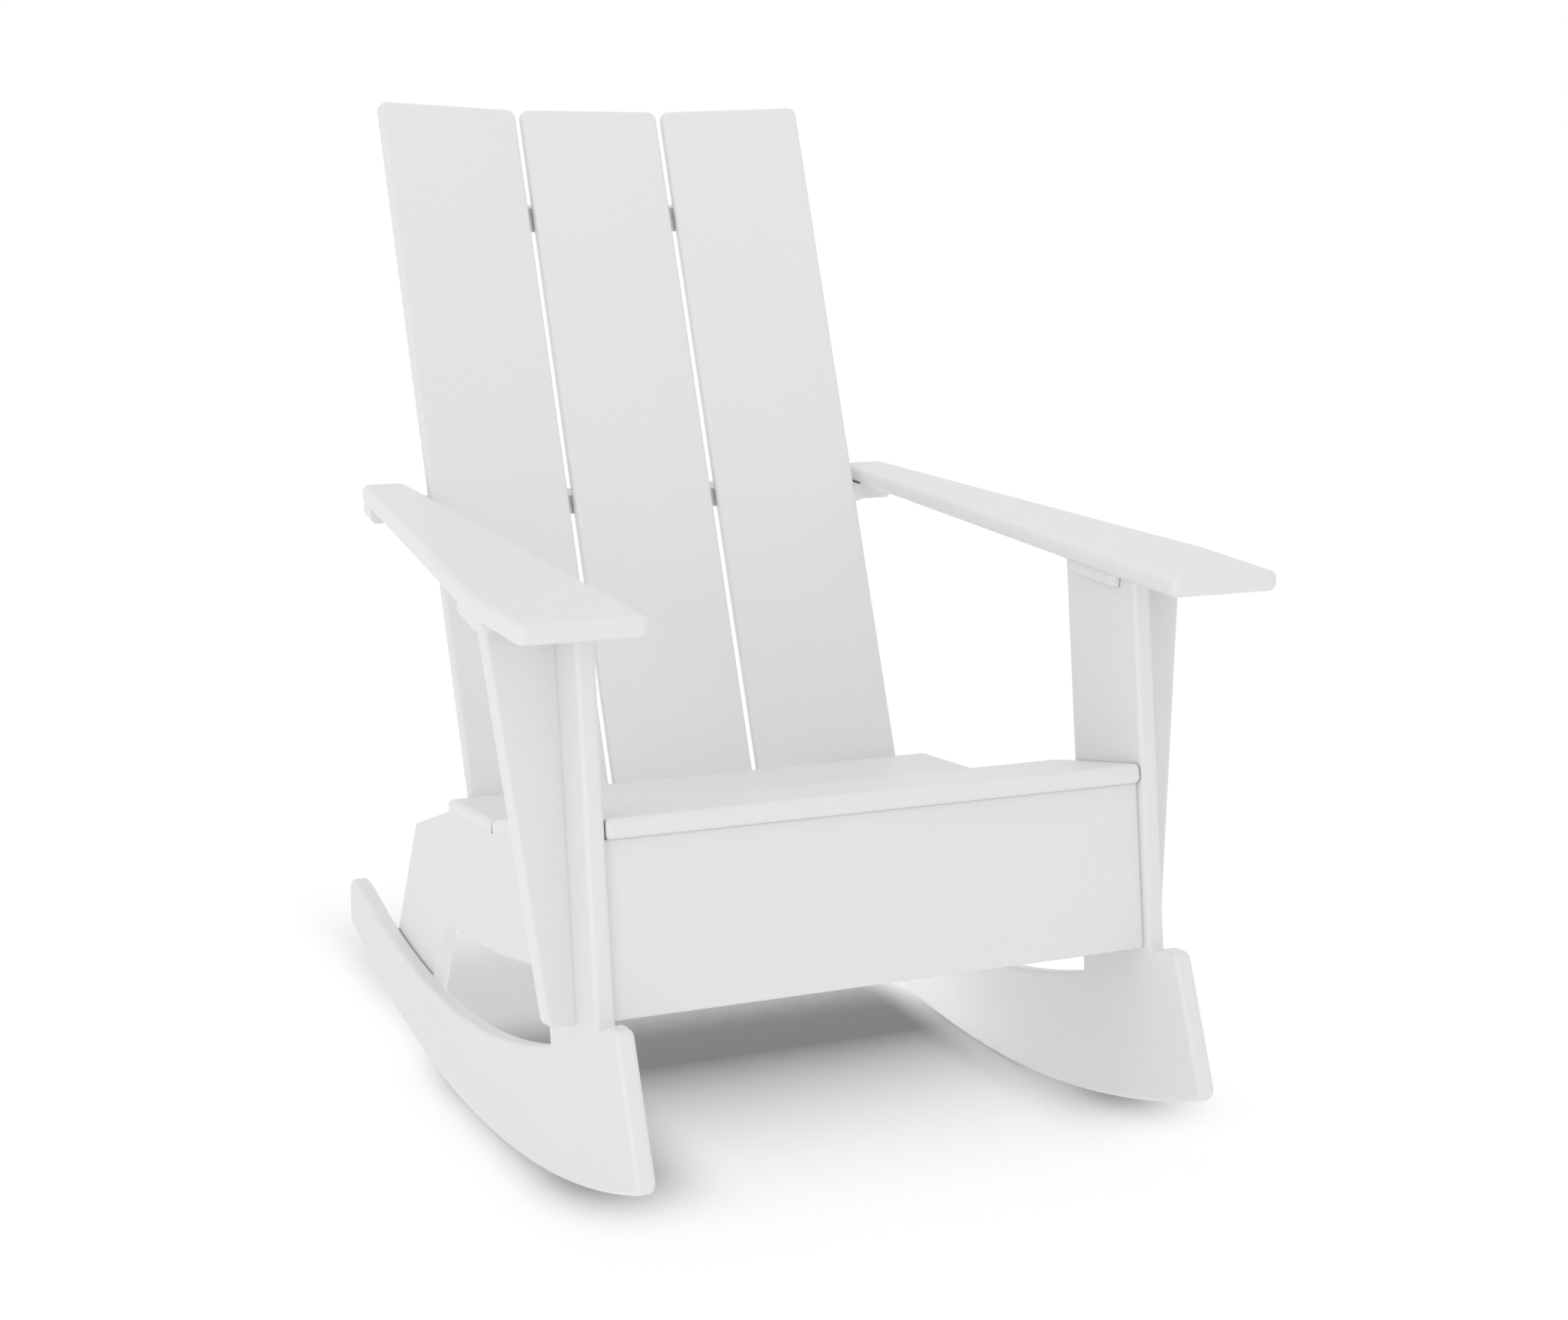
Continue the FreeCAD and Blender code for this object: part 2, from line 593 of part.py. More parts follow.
def fasten_rails():
    """Screws from the rail's inner face into the leg, the gusset and the rocker."""
    def from_rail(group, boards, point, length):
        seat = vec(RAIL_INNER_X + RAIL_HEAD_DEPTH, point.y, point.z)
        drive_pair(group, boards, seat, X, length, RAIL_HEAD_DEPTH + MOUTH_SPARE)

    lap = ["seat_rail_SIDE", "leg_rocker_SIDE"]
    for setback, along in LAP_SCREWS:
        from_rail("rail_to_leg_screws", lap, leg_point(setback, along), LAP_SCREW_LENGTH)
    for place_in_side_view in FOOT_SCREWS:
        from_rail("rear_foot_screws", lap, vec(0, *place_in_side_view), LAP_SCREW_LENGTH)
    for along in GUSSET_SCREWS:
        point = leg_point(GUSSET_SETBACK + SHEET / 2, along)
        from_rail("gusset_screws", lap + ["leg_gusset_SIDE"], point, GUSSET_SCREW_LENGTH)


def drive_pocket_pair(group, boards, exit_point, forward, sideways, bite):
    """Tilted screws that leave a board at exit_point and lean sideways from their forward direction."""
    aim = forward * math.cos(POCKET_TILT) + sideways * math.sin(POCKET_TILT)
    seat = exit_point - aim * POCKET_REACH
    drive_pair(group, boards, seat, aim, POCKET_REACH + bite, POCKET_MOUTH, POCKET_RADIUS)


def fasten_seat():
    """Pocket screws from the rails into the seat boards and the apron."""
    middle = RAIL_INNER_X + SHEET / 2
    for index, name in enumerate(SEAT_BOARDS):
        start, run, normal, length = seat_frame(index)
        low = start - normal * SEAT_THICKNESS[index] + X * middle
        bite = SEAT_THICKNESS[index] * SEAT_SCREW_BITE
        for share in SEAT_SCREWS[index]:
            exit_point = low + run * (length * share)
            drive_pocket_pair("seat_screws", [name, "seat_rail_SIDE"], exit_point, normal, X, bite)
    forward = LEG_BACK * -1
    for along in APRON_SCREWS:
        exit_point = leg_point(APRON_SETBACK + SHEET, along, middle)
        drive_pocket_pair("apron_screws", ["apron", "seat_rail_SIDE"], exit_point, forward, X, POCKET_BITE)


def fasten_arms():
    """Screws up into the arms, and down from the arm plates into the legs and gussets."""
    def up_into_arm(carrier, places, underside, depth):
        for x, y in places:
            seat = vec(x, y, underside + depth)
            boards = [carrier, "arm_SIDE"]
            drive_pair("arm_screws", boards, seat, Z, ARM_SCREW_LENGTH, depth + MOUTH_SPARE)

    up_into_arm("arm_plate_SIDE", ARM_SCREWS, PLATE_UNDERSIDE, PLATE_HEAD_DEPTH)
    up_into_arm("lower_back_brace", ARM_REAR_SCREWS, LOWER_BRACE_Z, WING_HEAD_DEPTH)
    down = Z * -1
    down_seat = ARM_UNDERSIDE - LEG_HEAD_DEPTH
    group = "arm_plate_screws"
    for y in LEG_HEAD_SCREWS_Y:
        boards = ["arm_plate_SIDE", "leg_rocker_SIDE"]
        seat = vec(LEG_OUTER_X - SHEET / 2, y, down_seat)
        drive_pair(group, boards, seat, down, LEG_HEAD_SCREW_LENGTH, LEG_HEAD_DEPTH)
    boards = ["arm_plate_SIDE", "leg_gusset_SIDE"]
    seat = vec(*GUSSET_HEAD_SCREW, down_seat)
    drive_pair(group, boards, seat, down, GUSSET_HEAD_SCREW_LENGTH, LEG_HEAD_DEPTH)


def fasten_slats():
    """Level screws from each brace's rear edge into every slat."""
    levels = {
        "upper": UPPER_BRACE_Z + THICK_SHEET / 2,
        "lower": LOWER_BRACE_Z + SHEET / 2,
        "foot": FOOT_BRACE_Z + SHEET / 2,
    }
    length = SLAT_SCREW_REACH + SLAT_SCREW_BITE
    forward = Y * -1
    for level, z in levels.items():
        for name, side in SLATS.items():
            boards = [level + "_back_brace", name]
            for share in OUTER_SLAT_SCREWS if side else MIDDLE_SLAT_SCREWS:
                seat = slat_rear(side, SLAT_WIDTH * share, z) + Y * SLAT_SCREW_REACH
                drive(level + "_brace_screws", boards, seat, forward, length, BRACE_MOUTH)


def fasten_foot_brace():
    """Pocket screws from the foot brace into the rails."""
    boards = ["foot_back_brace", "seat_rail_SIDE"]
    for y in FOOT_BRACE_SCREWS_Y:
        exit_point = vec(RAIL_INNER_X, y, FOOT_BRACE_Z + SHEET / 2)
        drive_pocket_pair("foot_brace_screws", boards, exit_point, X, Z, POCKET_BITE)


def build():
    """Make every board, then drive the screws that join them."""
    add_pair("leg_rocker", side_plate())
    add_pair("seat_rail", seat_rail())
    add_pair("leg_gusset", gusset())
    add_pair("arm_plate", arm_plate())
    add_pair("arm", arm())
    shapes["apron"] = apron()
    for index, name in enumerate(SEAT_BOARDS):
        shapes[name] = seat_board(index)
    for name, side in SLATS.items():
        shapes[name] = slat(side)
    shapes["upper_back_brace"] = upper_brace()
    shapes["lower_back_brace"] = lower_brace()
    shapes["foot_back_brace"] = foot_brace()
    fasten_rails()
    fasten_seat()
    fasten_arms()
    fasten_slats()
    fasten_foot_brace()


def balance_angle():
    """Turn about the rocker arc's centre that brings the chair's weight straight below it."""
    mass = 0.0
    moment = vec(0, 0, 0)
    for name, shape in shapes.items():
        density = STEEL_DENSITY if name.endswith("screws") else PLASTIC_DENSITY
        for solid in shape.Solids:
            mass += solid.Volume * density
            moment += solid.CenterOfMass * (solid.Volume * density)
    centre = moment * (1 / mass)
    angle = math.degrees(math.atan((centre.y - ROCKER_CENTRE[0]) / (centre.z - ROCKER_CENTRE[1])))
    print("mass", round(mass, 2), "kg, centre", [round(v, 1) for v in centre], "turn", round(angle, 2))
    return angle


def set_down():
    """Turn every piece to the chair's balance and put the origin under the middle of its box."""
    angle = balance_angle()
    pivot = vec(0, *ROCKER_CENTRE)
    for name, shape in shapes.items():
        shapes[name] = shape.rotated(pivot, X, angle)
    overall = Part.makeCompound(list(shapes.values())).optimalBoundingBox(False)
    shift = vec(0, -overall.Center.y, -overall.ZMin)
    for name, shape in shapes.items():
        shapes[name] = shape.translated(shift)
    size = (overall.XLength, overall.YLength, overall.ZLength)
    print("shift", [round(v, 2) for v in shift], "size", [round(v, 1) for v in size])


build()
set_down()
os.makedirs("parts", exist_ok=True)
for node, shape in shapes.items():
    shape.exportStep("parts/" + node + ".step")
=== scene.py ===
"""White rocking adirondack chair: finishes, screws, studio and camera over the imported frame."""

import logging
import math
from dataclasses import dataclass, field
from enum import Enum
from typing import Any, Mapping

import bmesh
import bpy
from mathutils import Matrix, Vector


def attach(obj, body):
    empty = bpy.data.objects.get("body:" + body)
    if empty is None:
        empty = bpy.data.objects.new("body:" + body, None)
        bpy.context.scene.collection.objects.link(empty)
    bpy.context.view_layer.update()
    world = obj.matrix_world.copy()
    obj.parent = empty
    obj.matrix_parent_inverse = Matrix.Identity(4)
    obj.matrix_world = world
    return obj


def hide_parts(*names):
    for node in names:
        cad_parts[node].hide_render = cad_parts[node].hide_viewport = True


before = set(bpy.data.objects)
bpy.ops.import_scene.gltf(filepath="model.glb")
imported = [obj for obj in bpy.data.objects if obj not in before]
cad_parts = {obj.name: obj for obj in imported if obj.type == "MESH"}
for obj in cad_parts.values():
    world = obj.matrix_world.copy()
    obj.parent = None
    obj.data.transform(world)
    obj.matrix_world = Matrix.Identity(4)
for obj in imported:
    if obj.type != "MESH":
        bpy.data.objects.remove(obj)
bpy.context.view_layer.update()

PHOTO_WIDTH = 2090

# Thicknesses of the three plastic sheets, in metres.
SHEET = 0.01905
THIN_SHEET = 0.0127
THICK_SHEET = 0.0254
THICKNESS_TOLERANCE = 0.0003

# How much darker the line is where two boards meet: a shade painted into the colour by an occlusion test.
FAINT_JOINT_SHADE = 0.15
PLAIN_JOINT_SHADE = 0.45
CLEAR_JOINT_SHADE = 0.70

# Nearly straight up, so that the two faces of an upright board are told apart too.
NEARLY_UP = Vector((0.01, 0.0, 1.0))

# The value that noise swings about.
NOISE_MIDDLE = 0.5

# How far one board's texture lies from the next one's, so that no two boards look the same.
TEXTURE_STEP = Vector((0.731, 1.377, 0.519))

log = logging.getLogger("rocking_chair")


class Side(Enum):
    """Which side of the chair a piece is on, as seen from the front."""

    LEFT = "left"
    RIGHT = "right"


class Socket:
    """One value, colour or vector on its way through a material's nodes."""

    def __init__(self, shader: "Shader", link: bpy.types.NodeSocket) -> None:
        """Keep the node socket and the shader it belongs to."""
        self.shader = shader
        self.link = link

    def sibling(self, output: str) -> "Socket":
        """Another output of the same node."""
        return Socket(self.shader, self.link.node.outputs[output])

    def _math(self, operation: str, first: "Socket | float", second: "Socket | float") -> "Socket":
        """One Math node on two values."""
        return self.shader.node("ShaderNodeMath", {"operation": operation}, {0: first, 1: second})

    def __add__(self, other: "Socket | float") -> "Socket":
        """self + other."""
        return self._math("ADD", self, other)

    def __radd__(self, other: float) -> "Socket":
        """other + self."""
        return self._math("ADD", other, self)

    def __sub__(self, other: "Socket | float") -> "Socket":
        """self - other."""
        return self._math("SUBTRACT", self, other)

    def __rsub__(self, other: float) -> "Socket":
        """other - self."""
        return self._math("SUBTRACT", other, self)

    def __mul__(self, other: "Socket | float") -> "Socket":
        """self * other."""
        return self._math("MULTIPLY", self, other)

    def __rmul__(self, other: float) -> "Socket":
        """other * self."""
        return self._math("MULTIPLY", other, self)

    def __pow__(self, other: "Socket | float") -> "Socket":
        """self ** other."""
        return self._math("POWER", self, other)

    def __rpow__(self, other: float) -> "Socket":
        """other ** self."""
        return self._math("POWER", other, self)

    def __abs__(self) -> "Socket":
        """The value without its sign."""
        return self.shader.node("ShaderNodeMath", {"operation": "ABSOLUTE"}, {0: self})

    def clamped(self) -> "Socket":
        """The value held between 0 and 1."""
        return self.shader.node("ShaderNodeClamp", {}, {"Value": self})

    def larger(self, other: "Socket | float") -> "Socket":
        """The larger of two values."""
        return self._math("MAXIMUM", self, other)

    def between(self, low: float, high: float) -> "Socket":
        """A soft step of this value.

        Args:
            low: where the step starts, at 0.
            high: where it ends, at 1.

        Returns:
            The stepped value, from 0 to 1.
        """
        return self.shader.node(
            "ShaderNodeMapRange",
            {"interpolation_type": "SMOOTHSTEP"},
            {"Value": self, "From Min": low, "From Max": high},
        )


class Shader:
    """Builds the nodes of one material or of the world."""

    def __init__(self, tree: bpy.types.NodeTree) -> None:
        """Start on an empty node tree."""
        self.tree = tree
        self.tree.nodes.clear()

    @classmethod
    def for_material(cls, name: str) -> "tuple[Shader, bpy.types.Material]":
        """A new material and the shader that fills it.

        Args:
            name: the material's name.

        Returns:
            The shader and its material.
        """
        material = bpy.data.materials.new(name)
        material.use_nodes = True
        return cls(material.node_tree), material

    def node(
        self,
        kind: str,
        settings: Mapping[str, Any] | None = None,
        sockets: Mapping[str | int, Any] | None = None,
        output: str | int = 0,
    ) -> Socket:
        """Add one node.

        Args:
            kind: the node's type.
            settings: its properties, such as a Math node's operation, which are set first.
            sockets: numbers, colours or links for its inputs, by name or place.
            output: the output that the result stands for.

        Returns:
            That output, or the node's first input where it has no output.
        """
        made = self.tree.nodes.new(kind)
        for key, value in (settings or {}).items():
            setattr(made, key, value)
        for key, value in (sockets or {}).items():
            if isinstance(value, Socket):
                self.tree.links.new(value.link, made.inputs[key])
            else:
                made.inputs[key].default_value = value
        return Socket(self, made.outputs[output] if made.outputs else made.inputs[0])

    def vector(self, operation: str, first: Any, second: Any, output: str = "Vector") -> Socket:
        """One Vector Math node on two vectors.

        Args:
            operation: the node's operation.
            first: a link or three numbers.
            second: a link or three numbers.
            output: Vector, or Value for a dot product or length.

        Returns:
            The result.
        """
        return self.node("ShaderNodeVectorMath", {"operation": operation}, {0: first, 1: second}, output)

    def blend(self, factor: Socket | float, first: Any, second: Any) -> Socket:
        """Go from one colour to another.

        Args:
            factor: 0 for the first colour, 1 for the second.
            first: a link or a colour.
            second: a link or a colour.

        Returns:
            The mixed colour.
        """
        return self._mix("MIX", factor, first, second)

    def toned(self, colour: tuple[float, float, float], tone: Socket) -> Socket:
        """Make a colour lighter or darker.

        Args:
            colour: the plain colour.
            tone: 1 leaves it as it is.

        Returns:
            The colour times the tone.
        """
        grey = self.node("ShaderNodeCombineColor", {}, {0: tone, 1: tone, 2: tone})
        return self._mix("MULTIPLY", 1.0, (*colour, 1.0), grey)

    def _mix(self, blend_type: str, factor: Socket | float, first: Any, second: Any) -> Socket:
        """Put two colours together in a Mix node, which takes them at 6 and 7 and gives them out at 2.

        Args:
            blend_type: the node's way of mixing.
            factor: how much of it is done.
            first: a link or a colour.
            second: a link or a colour.

        Returns:
            The mixed colour.
        """
        settings = {"data_type": "RGBA", "blend_type": blend_type}
        return self.node("ShaderNodeMix", settings, {0: factor, 6: first, 7: second}, 2)

    def noise(self, where: Socket, scale: float, detail: float = 2.0, roughness: float = 0.5) -> Socket:
        """Soft three-dimensional noise.

        Args:
            where: the place on the surface, in metres.
            scale: how many swings to the metre.
            detail: how many finer layers are added.
            roughness: how strong the finer layers are.

        Returns:
            The noise, about 0.5.
        """
        sockets = {"Vector": where, "Scale": scale, "Detail": detail, "Roughness": roughness}
        return self.node("ShaderNodeTexNoise", {"noise_dimensions": "3D"}, sockets)

    def bump(self, height: Socket, distance: float, strength: float, under: Socket | None = None) -> Socket:
        """Raise the surface a little.

        Args:
            height: the height, from 0 to 1.
            distance: what 1 stands for, in metres.
            strength: how much of it shows.
            under: a normal that this one is laid over.

        Returns:
            The new normal.
        """
        sockets: dict[str | int, Any] = {"Height": height, "Distance": distance, "Strength": strength}
        if under is not None:
            sockets["Normal"] = under
        return self.node("ShaderNodeBump", {}, sockets)

    def finish(self, surface: Socket) -> None:
        """Join the last shader to the tree's output.

        Args:
            surface: the last shader.
        """
        is_world = any(world.node_tree == self.tree for world in bpy.data.worlds)
        kind = "ShaderNodeOutputWorld" if is_world else "ShaderNodeOutputMaterial"
        self.node(kind, {}, {"Surface": surface})


@dataclass(frozen=True)
class BoardAxes:
    """A board's own directions and middle plane, and a shift that sets its texture apart."""

    along: Vector
    across: Vector
    through: Vector
    middle: float
    thickness: float
    shift: Vector

    @classmethod
    def of(cls, board: bpy.types.Object, number: int) -> "BoardAxes":
        """Find the directions of one board.

        Args:
            board: the board's object.
            number: the board's place in the chair, for its texture's shift.

        Returns:
            Its axes: through is square to its two faces, along follows its length, and the
            middle plane lies at that distance along through.
        """
        sums: dict[tuple[float, float, float], Vector] = {}
        for polygon in board.data.polygons:
            upward = polygon.normal.dot(NEARLY_UP) >= 0
            normal = polygon.normal if upward else -polygon.normal
            key = (round(normal.x, 2), round(normal.y, 2), round(normal.z, 2))
            sums[key] = sums.get(key, Vector()) + normal * polygon.area
        through = max(sums.values(), key=lambda total: total.length).normalized()
        points = [vertex.co for vertex in board.data.vertices]
        middle = sum(points, Vector()) / len(points)
        guess = max(points, key=lambda point: (point - middle).length) - middle
        along = (guess - through * guess.dot(through)).normalized()
        depths = [point.dot(through) for point in points]
        low, high = min(depths), max(depths)
        shift = TEXTURE_STEP * number
        return cls(along, through.cross(along), through, (low + high) / 2, high - low, shift)


@dataclass(frozen=True)
class SheetPlastic:
    """White sheet plastic: a fine stipple on its two faces, cutter marks round its edges, and shade painted
    into its colour where boards meet.

    Scales are swings to the metre, heights and reaches are metres, and a step is where a mask
    starts and where it is full.
    """

    colour: tuple[float, float, float] = (0.80, 0.80, 0.80)
    mottle: float = 0.010
    mottle_scale: float = 9.0
    speck: float = 0.028
    speck_scale: float = 446.4
    speck_step: tuple[float, float] = (0.60, 0.74)
    face_step: tuple[float, float] = (0.90, 0.995)
    face_roughness: float = 0.47
    edge_roughness: float = 0.33
    roughness_drift: float = 0.10
    stipple_scale: float = 620.0
    stipple_height: float = 0.00011
    stipple_strength: float = 0.55
    cutter_scale: float = 900.0
    cutter_stretch: tuple[float, float, float] = (1.0, 1.0, 0.06)
    cutter_height: float = 0.00003
    cutter_strength: float = 0.6
    scuff_stretch: tuple[float, float, float] = (6.0, 420.0, 60.0)
    scuff_step: tuple[float, float] = (0.68, 0.80)
    scuff_depth: float = 0.5
    scuff_roughness: float = 0.05
    joint_shade_reach: float = 0.0035
    joint_shade_step: tuple[float, float] = (0.15, 0.90)
    joint_shade_samples: int = 6
    joint_shade_tone: float = PLAIN_JOINT_SHADE
    refraction: float = 1.5

    def paint(self, name: str, axes: BoardAxes, rounding: float) -> bpy.types.Material:
        """Make the material of one board.

        Args:
            name: the board's name.
            axes: the board's own directions.
            rounding: radius of its rounded edges, in metres.

        Returns:
            The material.
        """
        shader, material = Shader.for_material("sheet_plastic_" + name)
        place = shader.node("ShaderNodeTexCoord", {}, {}, "Object")
        facing = shader.vector("DOT_PRODUCT", place.sibling("Normal"), axes.through, "Value")
        face = abs(facing).between(*self.face_step)
        own = self._board_place(shader, place, axes)
        drift = shader.noise(own, self.mottle_scale, detail=3.0, roughness=0.55) - NOISE_MIDDLE
        scuffs = self._scuffs(shader, own)
        rough = self.edge_roughness + face * (self.face_roughness - self.edge_roughness)
        sockets = {
            "Base Color": shader.toned(self.colour, self._tone(shader, own, face, drift)),
            "Roughness": rough + drift * self.roughness_drift + scuffs * self.scuff_roughness,
            "IOR": self.refraction,
            "Normal": self._relief(shader, own, self._edge(shader, place, axes, rounding), scuffs),
        }
        shader.finish(shader.node("ShaderNodeBsdfPrincipled", {}, sockets))
        return material

    @staticmethod
    def _board_place(shader: Shader, place: Socket, axes: BoardAxes) -> Socket:
        """The place on a board along, across and through it.

        Args:
            shader: the material's nodes.
            place: the place in the chair.
            axes: the board's directions.

        Returns:
            The place in the board's own directions, with its shift.
        """
        directions = (axes.along, axes.across, axes.through)
        parts = [shader.vector("DOT_PRODUCT", place, axis, "Value") for axis in directions]
        own = shader.node("ShaderNodeCombineXYZ", {}, dict(enumerate(parts)))
        return shader.vector("ADD", own, axes.shift)

    @staticmethod
    def _edge(shader: Shader, place: Socket, axes: BoardAxes, rounding: float) -> Socket:
        """The flat part of a board's edge.

        Args:
            shader: the material's nodes.
            place: the place in the chair.
            axes: the board's directions.
            rounding: radius of its rounded edges, in metres.

        Returns:
            1 there, fading out where the rounding starts.
        """
        depth = abs(shader.vector("DOT_PRODUCT", place, axes.through, "Value") - axes.middle)
        flat = axes.thickness / 2 - rounding
        return 1.0 - depth.between(flat, flat + rounding / 3)

    def _tone(self, shader: Shader, own: Socket, face: Socket, drift: Socket) -> Socket:
        """How light the plastic is.

        Args:
            shader: the material's nodes.
            own: the place on the board.
            face: 1 on the board's two faces.
            drift: slow change over the board, about 0.

        Returns:
            1 in general, a little less on specks, and less where boards meet, where shade is painted in.
        """
        specks = shader.noise(own, self.speck_scale, detail=1.0).between(*self.speck_step)
        settings = {"samples": self.joint_shade_samples}
        # An occlusion test paints shade into the colour where two boards meet.
        air = shader.node("ShaderNodeAmbientOcclusion", settings, {"Distance": self.joint_shade_reach}, "AO")
        painted_joint_shade = 1.0 - air.between(*self.joint_shade_step)
        plain = 1.0 + drift * (2.0 * self.mottle) - specks * face * self.speck
        return plain * (1.0 - painted_joint_shade * self.joint_shade_tone)

    def _relief(self, shader: Shader, own: Socket, edge: Socket, scuffs: Socket) -> Socket:
        """The stipple, and over it the cutter and rub marks.

        Args:
            shader: the material's nodes.
            own: the place on the board.
            edge: 1 on the flat part of the board's edge.
            scuffs: 1 on a rub mark.

        Returns:
            The normal.
        """
        stipple = shader.noise(own, self.stipple_scale, roughness=0.6)
        drawn = shader.vector("MULTIPLY", own, self.cutter_stretch)
        cutter = shader.noise(drawn, self.cutter_scale, detail=1.0) * edge
        normal = shader.bump(stipple, self.stipple_height, self.stipple_strength)
        marks = cutter - scuffs * self.scuff_depth
        return shader.bump(marks, self.cutter_height, self.cutter_strength, normal)

    def _scuffs(self, shader: Shader, own: Socket) -> Socket:
        """Rare fine rub marks along a board.

        Args:
            shader: the material's nodes.
            own: the place on the board.

        Returns:
            1 on a mark and 0 elsewhere.
        """
        drawn = shader.vector("MULTIPLY", own, self.scuff_stretch)
        return shader.noise(drawn, 1.0, detail=1.0, roughness=0.4).between(*self.scuff_step)


@dataclass(frozen=True)
class StainlessSteel:
    """Plain stainless steel, turned and lightly brushed, with scales as swings to the metre."""

    colour: tuple[float, float, float] = (0.58, 0.58, 0.57)
    roughness: float = 0.30
    brush_scale: float = 2600.0
    brush_tone: float = 0.12
    brush_height: float = 0.00002
    brush_strength: float = 0.4
    smear_scale: float = 180.0
    smear_roughness: float = 0.2

    def paint(self, name: str) -> bpy.types.Material:
        """Make the screws' material.

        Args:
            name: the material's name.

        Returns:
            The material.
        """
        shader, material = Shader.for_material(name)
        place = shader.node("ShaderNodeTexCoord", {}, {}, "Object")
        brushed = shader.noise(place, self.brush_scale, roughness=0.6)
        smear = shader.noise(place, self.smear_scale) - NOISE_MIDDLE
        sockets = {
            "Base Color": shader.toned(self.colour, 1.0 + (brushed - NOISE_MIDDLE) * self.brush_tone),
            "Metallic": 1.0,
            "Roughness": self.roughness + smear * self.smear_roughness,
            "Normal": shader.bump(brushed, self.brush_height, self.brush_strength),
        }
        shader.finish(shader.node("ShaderNodeBsdfPrincipled", {}, sockets))
        return material


@dataclass
class SubAssembly:
    """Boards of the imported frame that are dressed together, with their thicknesses in metres."""

    name: str
    boards: Mapping[str, float]
    rounding: float
    plastic: SheetPlastic = field(default_factory=SheetPlastic)

    def dress(self, first_number: int) -> int:
        """Give each board its own sheet plastic.

        Args:
            first_number: the number of the first board, for the texture's shift.

        Returns:
            The number for the next board.
        """
        for offset, (node_name, thickness) in enumerate(self.boards.items()):
            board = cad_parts[node_name]
            axes = BoardAxes.of(board, first_number + offset)
            if abs(axes.thickness - thickness) > THICKNESS_TOLERANCE:
                log.warning("%s: %s is %.2f mm thick", self.name, node_name, axes.thickness * 1000)
            put_on(board, self.plastic.paint(node_name, axes, self.rounding))
            log.info("%s: %s dressed", self.name, node_name)
        return first_number + len(self.boards)


@dataclass
class SideFrame(SubAssembly):
    """One side: the leg and rocker sheet, the seat rail inside it and the gusset outside it."""

    @classmethod
    def on(cls, side: Side, sheet: float = SHEET, rounding: float = 0.005) -> "SideFrame":
        """The frame of one side.

        Args:
            side: left or right.
            sheet: thickness of its three boards.
            rounding: radius of their edges.

        Returns:
            The frame.
        """
        stems = ("leg_rocker", "seat_rail", "leg_gusset")
        boards = {stem + "_" + side.value: sheet for stem in stems}
        # The side frames get only a faint painted shade where their boards meet.
        plastic = SheetPlastic(joint_shade_tone=FAINT_JOINT_SHADE)
        return cls("side_frame_" + side.value, boards, rounding, plastic)


@dataclass
class Armrest(SubAssembly):
    """One arm and the small plate that carries it."""

    @classmethod
    def on(
        cls, side: Side, board: float = SHEET, plate: float = THIN_SHEET, rounding: float = 0.0065
    ) -> "Armrest":
        """The armrest of one side.

        Args:
            side: left or right.
            board: thickness of the arm.
            plate: thickness of its plate.
            rounding: radius of their edges.

        Returns:
            The armrest.
        """
        boards = {"arm_" + side.value: board, "arm_plate_" + side.value: plate}
        return cls("armrest_" + side.value, boards, rounding)


@dataclass
class Seat(SubAssembly):
    """Three seat boards and the apron below the front one."""

    name: str = "seat"
    boards: Mapping[str, float] = field(
        default_factory=lambda: {
            "seat_board_front": SHEET,
            "seat_board_middle": THIN_SHEET,
            "seat_board_rear": THIN_SHEET,
            "apron": SHEET,
        }
    )
    rounding: float = 0.0055
    # The seat gets a clear painted shade where its boards meet.
    plastic: SheetPlastic = field(default_factory=lambda: SheetPlastic(joint_shade_tone=CLEAR_JOINT_SHADE))


@dataclass
class Back(SubAssembly):
    """Three slats and the three braces behind them."""

    name: str = "back"
    boards: Mapping[str, float] = field(
        default_factory=lambda: {
            "back_slat_left": THIN_SHEET,
            "back_slat_middle": THIN_SHEET,
            "back_slat_right": THIN_SHEET,
            "upper_back_brace": THICK_SHEET,
            "lower_back_brace": SHEET,
            "foot_back_brace": SHEET,
        }
    )
    rounding: float = 0.0042


@dataclass(frozen=True)
class ScrewPlace:
    """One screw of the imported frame: the middle of its head's top, its direction and its length."""

    top: Vector
    direction: Vector
    length: float

    @classmethod
    def all_in(
        cls, group: bpy.types.Object, weld: float = 0.00001, near: float = 0.0004
    ) -> "list[ScrewPlace]":
        """Find the screws in a group's mesh.

        Args:
            group: the group's object.
            weld: how near two vertices count as one.
            near: how near a screw's end a vertex counts as part of that end.

        Returns:
            A place for each screw.
        """
        work = bmesh.new()
        work.from_mesh(group.data)
        bmesh.ops.remove_doubles(work, verts=work.verts, dist=weld)
        left = set(work.verts)
        places = []
        while left:
            island = {left.pop()}
            edge = set(island)
            while edge:
                edge = {link.other_vert(vertex) for vertex in edge for link in vertex.link_edges} & left
                left -= edge
                island |= edge
            places.append(cls._of([vertex.co.copy() for vertex in island], near))
        work.free()
        return places

    @classmethod
    def _of(cls, points: list[Vector], near: float) -> "ScrewPlace":
        """The place of one screw.

        Args:
            points: the screw's vertices.
            near: how near an end a vertex counts as part of it.

        Returns:
            Its place.
        """
        middle = sum(points, Vector()) / len(points)
        rough = (max(points, key=lambda point: (point - middle).length) - middle).normalized()
        reach = [point.dot(rough) for point in points]
        low, high = min(reach), max(reach)
        head = [point for point, at in zip(points, reach) if at < low + near]
        tip = [point for point, at in zip(points, reach) if at > high - near]
        top = sum(head, Vector()) / len(head)
        axis = sum(tip, Vector()) / len(tip) - top
        return cls(top, axis.normalized(), axis.length)


